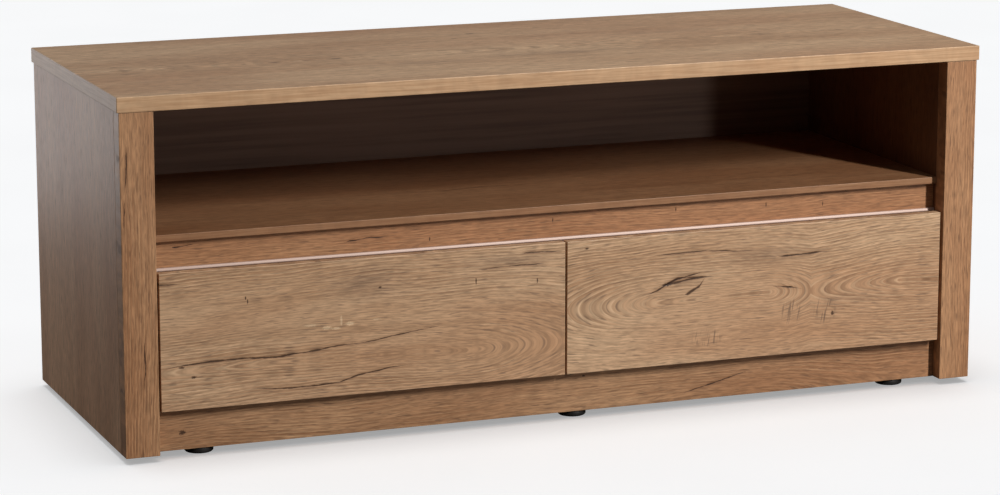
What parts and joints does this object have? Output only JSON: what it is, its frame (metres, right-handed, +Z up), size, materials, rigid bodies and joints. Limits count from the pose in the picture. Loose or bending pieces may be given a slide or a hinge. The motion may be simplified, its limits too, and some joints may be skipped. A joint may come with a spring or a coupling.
{
  "type": "media cabinet with drawers",
  "caption": "Low rectangular media cabinet in rustic oak finish: an open compartment over side-by-side inset drawers with a finger channel, recessed plinth and round glides.",
  "frame": {"origin": "on the floor, under the middle of the cabinet's outer box", "axes": "+X to the cabinet's right seen from the front, +Y to the back, +Z up; the front faces -Y"},
  "size_m": [1.35, 0.5, 0.527],
  "materials": {
    "oak_carcass": "rustic oak melamine, fine matt grain with knots and cracks",
    "oak_front": "rustic oak melamine, horizontal grain with knots and dark cracks",
    "drawer_board": "plain foil-wrapped chipboard, matt",
    "raw_board": "uncoated chipboard",
    "back_board": "thin hardboard, printed face, matt",
    "aluminium": "satin anodised extrusion",
    "runner_steel": "epoxy coated sheet steel, satin white",
    "nylon": "moulded nylon",
    "foot_plastic": "moulded plastic, matt black",
    "cam_zinc": "die-cast zinc, dull"
  },
  "bodies": {
    "cabinet": {"left_front_stile": "oak_carcass", "left_outer_side": "oak_carcass", "left_inner_side": "oak_carcass", "left_top_spacer": "raw_board", "left_bottom_spacer": "raw_board", "left_rear_strip": "oak_carcass", "right_front_stile": "oak_carcass", "right_outer_side": "oak_carcass", "right_inner_side": "oak_carcass", "right_top_spacer": "raw_board", "right_bottom_spacer": "raw_board", "right_rear_strip": "oak_carcass", "top_panel": "oak_carcass", "media_shelf": "oak_carcass", "front_rail": "oak_carcass", "plinth": "oak_carcass", "bottom_panel": "oak_carcass", "centre_divider": "oak_carcass", "rear_top_rail": "oak_carcass", "front_base_rail": "raw_board", "rear_base_rail": "raw_board", "back_panel": "back_board", "finger_channel": "aluminium", "left_front_foot": "foot_plastic", "middle_front_foot": "foot_plastic", "right_front_foot": "foot_plastic", "left_rear_foot": "foot_plastic", "middle_rear_foot": "foot_plastic", "right_rear_foot": "foot_plastic", "left_drawer_left_cabinet_runner": "runner_steel", "left_drawer_right_cabinet_runner": "runner_steel", "right_drawer_left_cabinet_runner": "runner_steel", "right_drawer_right_cabinet_runner": "runner_steel"},
    "left_drawer": {"left_drawer_front": "oak_front", "left_drawer_left_side": "drawer_board", "left_drawer_left_side_cam_lock": "cam_zinc", "left_drawer_left_drawer_runner": "runner_steel", "left_drawer_right_side": "drawer_board", "left_drawer_right_side_cam_lock": "cam_zinc", "left_drawer_right_drawer_runner": "runner_steel", "left_drawer_bottom": "back_board", "left_drawer_back": "drawer_board"},
    "right_drawer": {"right_drawer_front": "oak_front", "right_drawer_left_side": "drawer_board", "right_drawer_left_side_cam_lock": "cam_zinc", "right_drawer_left_drawer_runner": "runner_steel", "right_drawer_right_side": "drawer_board", "right_drawer_right_side_cam_lock": "cam_zinc", "right_drawer_right_drawer_runner": "runner_steel", "right_drawer_bottom": "back_board", "right_drawer_back": "drawer_board"},
    "left_drawer_left_front_roller": {"left_drawer_left_front_roller": "nylon"},
    "left_drawer_left_rear_roller": {"left_drawer_left_rear_roller": "nylon"},
    "left_drawer_right_front_roller": {"left_drawer_right_front_roller": "nylon"},
    "left_drawer_right_rear_roller": {"left_drawer_right_rear_roller": "nylon"},
    "right_drawer_left_front_roller": {"right_drawer_left_front_roller": "nylon"},
    "right_drawer_left_rear_roller": {"right_drawer_left_rear_roller": "nylon"},
    "right_drawer_right_front_roller": {"right_drawer_right_front_roller": "nylon"},
    "right_drawer_right_rear_roller": {"right_drawer_right_rear_roller": "nylon"}
  },
  "joints": [
    {"name": "left_drawer_slide", "type": "slide", "parent": "cabinet", "child": "left_drawer", "axis": [0, -1, 0], "range_m": [0, 0.29]},
    {"name": "right_drawer_slide", "type": "slide", "parent": "cabinet", "child": "right_drawer", "axis": [0, -1, 0], "range_m": [0, 0.29]},
    {"name": "left_drawer_left_front_roller_spin", "type": "hinge", "parent": "cabinet", "child": "left_drawer_left_front_roller", "pos_m": [-0.6166, -0.194, 0.0928], "axis": [1, 0, 0], "continuous": true},
    {"name": "left_drawer_left_rear_roller_spin", "type": "hinge", "parent": "left_drawer", "child": "left_drawer_left_rear_roller", "pos_m": [-0.6153, 0.157, 0.0925], "axis": [1, 0, 0], "continuous": true},
    {"name": "left_drawer_right_front_roller_spin", "type": "hinge", "parent": "cabinet", "child": "left_drawer_right_front_roller", "pos_m": [-0.0134, -0.194, 0.0928], "axis": [1, 0, 0], "continuous": true},
    {"name": "left_drawer_right_rear_roller_spin", "type": "hinge", "parent": "left_drawer", "child": "left_drawer_right_rear_roller", "pos_m": [-0.0147, 0.157, 0.0925], "axis": [1, 0, 0], "continuous": true},
    {"name": "right_drawer_left_front_roller_spin", "type": "hinge", "parent": "cabinet", "child": "right_drawer_left_front_roller", "pos_m": [0.0134, -0.194, 0.0928], "axis": [1, 0, 0], "continuous": true},
    {"name": "right_drawer_left_rear_roller_spin", "type": "hinge", "parent": "right_drawer", "child": "right_drawer_left_rear_roller", "pos_m": [0.0147, 0.157, 0.0925], "axis": [1, 0, 0], "continuous": true},
    {"name": "right_drawer_right_front_roller_spin", "type": "hinge", "parent": "cabinet", "child": "right_drawer_right_front_roller", "pos_m": [0.6166, -0.194, 0.0928], "axis": [1, 0, 0], "continuous": true},
    {"name": "right_drawer_right_rear_roller_spin", "type": "hinge", "parent": "right_drawer", "child": "right_drawer_right_rear_roller", "pos_m": [0.6153, 0.157, 0.0925], "axis": [1, 0, 0], "continuous": true}
  ],
  "couplings": [
    {"joint": "left_drawer_left_front_roller_spin", "follows": "left_drawer_slide", "rad_per_m": 111.11},
    {"joint": "left_drawer_left_rear_roller_spin", "follows": "left_drawer_slide", "rad_per_m": 111.11},
    {"joint": "left_drawer_right_front_roller_spin", "follows": "left_drawer_slide", "rad_per_m": 111.11},
    {"joint": "left_drawer_right_rear_roller_spin", "follows": "left_drawer_slide", "rad_per_m": 111.11},
    {"joint": "right_drawer_left_front_roller_spin", "follows": "right_drawer_slide", "rad_per_m": 111.11},
    {"joint": "right_drawer_left_rear_roller_spin", "follows": "right_drawer_slide", "rad_per_m": 111.11},
    {"joint": "right_drawer_right_front_roller_spin", "follows": "right_drawer_slide", "rad_per_m": 111.11},
    {"joint": "right_drawer_right_rear_roller_spin", "follows": "right_drawer_slide", "rad_per_m": 111.11}
  ]
}
